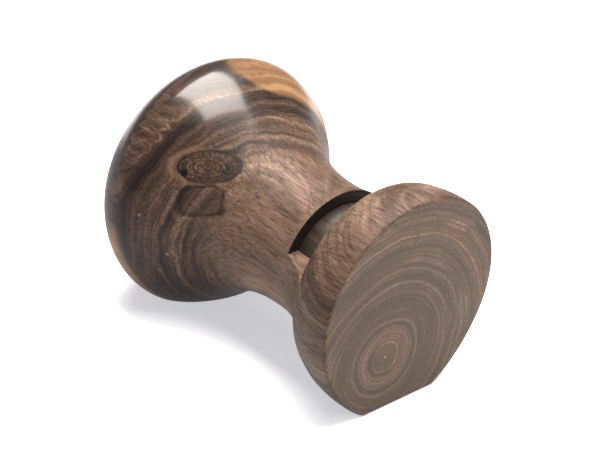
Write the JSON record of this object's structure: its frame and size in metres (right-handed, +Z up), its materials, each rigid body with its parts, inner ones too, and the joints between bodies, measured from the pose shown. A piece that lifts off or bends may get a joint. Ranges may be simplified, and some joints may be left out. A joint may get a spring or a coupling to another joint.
{
  "type": "nutcracker",
  "caption": "Hourglass-shaped turned walnut nutcracker: a nut goes in the window by the head and is crushed by a screw-driven plunger turned by a knob.",
  "frame": {"origin": "on the resting surface, below the middle of the overall box", "axes": "+X along the turning axis towards the head's end face, +Z up, away from the two resting flats"},
  "size_m": [0.142, 0.102, 0.0928],
  "materials": {
    "body_walnut": "oiled satin, dark brown heartwood with a pale sapwood edge",
    "plunger_walnut": "oiled satin, greyer brown",
    "plate_walnut": "oiled satin",
    "knob_walnut": "oiled satin",
    "brass": "machined satin",
    "steel": "turned satin",
    "screw_steel": "zinc plated satin"
  },
  "bodies": {
    "body": {"body": "body_walnut", "end_plate": "plate_walnut", "thread_bush": "brass", "end_plate_screws": "screw_steel", "guide_key": "brass"},
    "plunger": {"plunger": "plunger_walnut", "thrust_washer": "steel", "retaining_plate": "steel", "retaining_screws": "screw_steel"},
    "knob": {"knob": "knob_walnut", "spindle": "steel", "knob_pin": "screw_steel"}
  },
  "joints": [
    {"name": "plunger_feed", "type": "slide", "parent": "body", "child": "plunger", "axis": [-1, 0, 0], "range_m": [0, 0.024]},
    {"name": "knob_turn", "type": "hinge", "parent": "plunger", "child": "knob", "pos_m": [-0.062, 0, 0.0418], "axis": [-1, 0, 0], "range_deg": [0, 1080]}
  ],
  "couplings": [
    {"joint": "knob_turn", "follows": "plunger_feed", "rad_per_m": 785.4}
  ]
}
